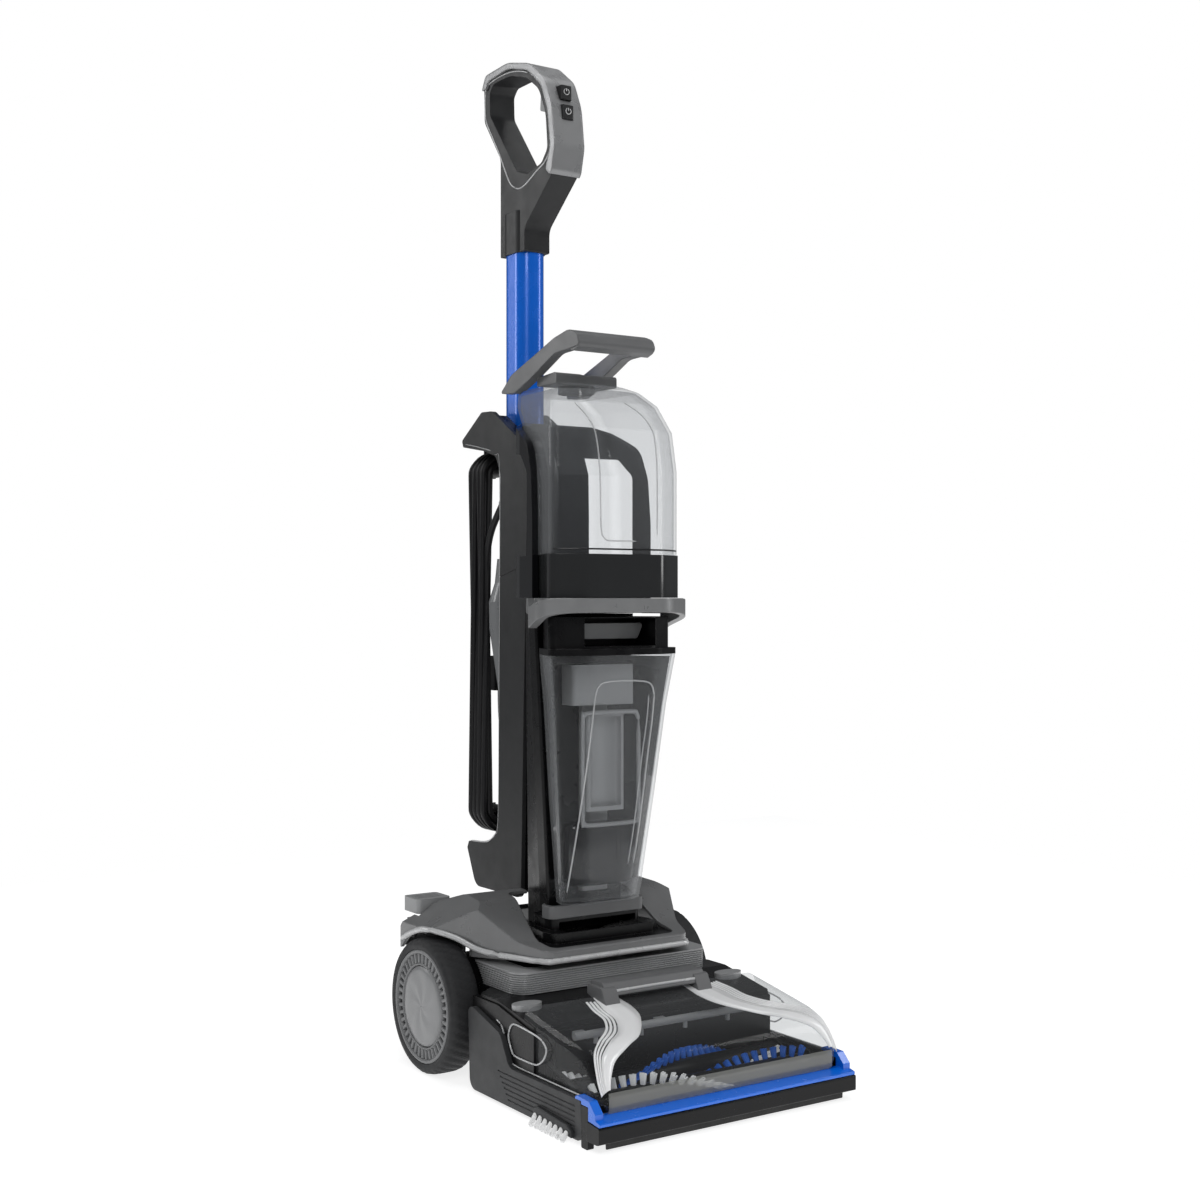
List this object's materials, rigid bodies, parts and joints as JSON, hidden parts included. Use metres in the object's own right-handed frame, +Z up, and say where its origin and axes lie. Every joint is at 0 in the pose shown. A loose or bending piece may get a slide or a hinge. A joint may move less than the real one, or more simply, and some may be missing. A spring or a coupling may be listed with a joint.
{
  "type": "upright carpet washer",
  "caption": "Upright carpet cleaner with clear clean-water and dirty-water tanks, a wide floor nozzle with brush rolls, reclining body, loop handle and a wound power cord.",
  "frame": {"origin": "bottom centre of the overall box, on the floor", "axes": "+Z up along the handle, -Y towards the floor nozzle's front edge, +X to the machine's right as seen from the front"},
  "size_m": [0.342, 0.49, 1.1417],
  "materials": {
    "charcoal": "satin",
    "black": "satin",
    "silver": "satin",
    "blue": "gloss",
    "rubber": "matte",
    "tyre": "matte",
    "bristles": "matte",
    "steel": "satin",
    "clear": "clear gloss",
    "smoky": "translucent gloss",
    "dark_grey": "satin",
    "white": "gloss",
    "light_grey": "satin",
    "cord": "satin"
  },
  "bodies": {
    "base": {"base_chassis": "charcoal", "side_panel_left": "charcoal", "side_panel_right": "charcoal", "motor_cover": "black", "ribbed_band": "silver", "front_bumper": "black", "bumper_strip": "blue", "squeegee": "rubber", "brush_motor": "black", "brush_belt": "rubber", "edge_brushes": "bristles", "wheel_axle": "steel", "spray_bar": "white"},
    "cover": {"nozzle_cover": "clear", "nozzle_grip": "dark_grey", "cover_trims": "white"},
    "release_left": {"release_button_left": "silver"},
    "release_right": {"release_button_right": "silver"},
    "wheel_left": {"tyre_left": "tyre", "wheel_rim_left": "dark_grey"},
    "wheel_right": {"tyre_right": "tyre", "wheel_rim_right": "dark_grey"},
    "front_roll": {"front_roll_core": "dark_grey", "front_roll_tufts": "bristles"},
    "rear_roll": {"rear_roll_core": "dark_grey", "rear_roll_tufts": "bristles"},
    "upright": {"deck_hood": "light_grey", "tank_pocket": "black", "tray_rim": "light_grey", "spine_left": "charcoal", "spine_right": "charcoal", "spine_core": "black", "back_housing": "black", "tank_cradle": "black", "suction_motor": "black", "water_pump": "black", "water_heater": "steel", "rear_duct": "smoky", "collar_ring": "silver", "handle_tube": "blue", "grip_body": "charcoal", "grip_cover": "silver", "cord_gland": "black", "power_cord": "cord", "cord_lead": "cord", "cord_plug": "black"},
    "pedal": {"recline_pedal": "light_grey"},
    "spray_trigger": {"trigger": "light_grey"},
    "steam_key": {"steam_button": "black"},
    "power_key": {"power_button": "black"},
    "upper_hook": {"cord_hook": "charcoal"},
    "clean_unit": {"clean_tank": "clear", "clean_base": "smoky", "carry_handle": "light_grey"},
    "cap": {"fill_cap": "black"},
    "dirty_unit": {"dirty_tank": "clear", "dirty_lid": "black", "dirty_duct": "light_grey"},
    "latch": {"lid_latch": "silver"},
    "float": {"tank_float": "white"}
  },
  "joints": [
    {"name": "cover_lift", "type": "slide", "parent": "base", "child": "cover", "axis": [0, 0, 1], "range_m": [0, 0.06]},
    {"name": "release_left_press", "type": "slide", "parent": "base", "child": "release_left", "axis": [0, 0, -1], "range_m": [0, 0.004], "stiffness_N_per_m": 800},
    {"name": "release_right_press", "type": "slide", "parent": "base", "child": "release_right", "axis": [0, 0, -1], "range_m": [0, 0.004], "stiffness_N_per_m": 800},
    {"name": "wheel_left_spin", "type": "hinge", "parent": "base", "child": "wheel_left", "pos_m": [-0.152, 0.087, 0.073], "axis": [1, 0, 0], "continuous": true},
    {"name": "wheel_right_spin", "type": "hinge", "parent": "base", "child": "wheel_right", "pos_m": [0.152, 0.087, 0.073], "axis": [1, 0, 0], "continuous": true},
    {"name": "front_roll_spin", "type": "hinge", "parent": "base", "child": "front_roll", "pos_m": [0, -0.195, 0.0285], "axis": [1, 0, 0], "continuous": true},
    {"name": "rear_roll_spin", "type": "hinge", "parent": "base", "child": "rear_roll", "pos_m": [0, -0.144, 0.0285], "axis": [1, 0, 0], "continuous": true},
    {"name": "recline", "type": "hinge", "parent": "base", "child": "upright", "pos_m": [0, 0.087, 0.073], "axis": [-1, 0, 0], "range_deg": [0, 60]},
    {"name": "pedal_press", "type": "hinge", "parent": "upright", "child": "pedal", "pos_m": [-0.129, 0.139, 0.146], "axis": [-1, 0, 0], "range_deg": [0, 8], "stiffness_Nm_per_rad": 2},
    {"name": "trigger_pull", "type": "hinge", "parent": "upright", "child": "spray_trigger", "pos_m": [0, 0.1, 1.099], "axis": [1, 0, 0], "range_deg": [0, 14], "stiffness_Nm_per_rad": 0.4},
    {"name": "steam_press", "type": "slide", "parent": "upright", "child": "steam_key", "axis": [0, 1, 0], "range_m": [0, 0.0015], "stiffness_N_per_m": 600},
    {"name": "power_press", "type": "slide", "parent": "upright", "child": "power_key", "axis": [0, 1, 0], "range_m": [0, 0.0015], "stiffness_N_per_m": 600},
    {"name": "hook_swivel", "type": "hinge", "parent": "upright", "child": "upper_hook", "pos_m": [0, 0.143, 0.6682], "axis": [0, 1, 0], "range_deg": [0, 180]},
    {"name": "clean_tank_lift", "type": "slide", "parent": "upright", "child": "clean_unit", "axis": [0, 0, 1], "range_m": [0, 0.15]},
    {"name": "cap_turn", "type": "hinge", "parent": "clean_unit", "child": "cap", "pos_m": [0, 0.039, 0.75], "axis": [0, 0, 1], "continuous": true},
    {"name": "dirty_tank_pull", "type": "slide", "parent": "upright", "child": "dirty_unit", "axis": [0, -1, 0], "range_m": [0, 0.16]},
    {"name": "latch_pull", "type": "hinge", "parent": "dirty_unit", "child": "latch", "pos_m": [0, -0.017, 0.487], "axis": [-1, 0, 0], "range_deg": [0, 18], "stiffness_Nm_per_rad": 0.6},
    {"name": "float_rise", "type": "slide", "parent": "dirty_unit", "child": "float", "axis": [0, 0, 1], "range_m": [0, 0.006]}
  ],
  "couplings": [
    {"joint": "front_roll_spin", "follows": "rear_roll_spin", "ratio": 1}
  ]
}
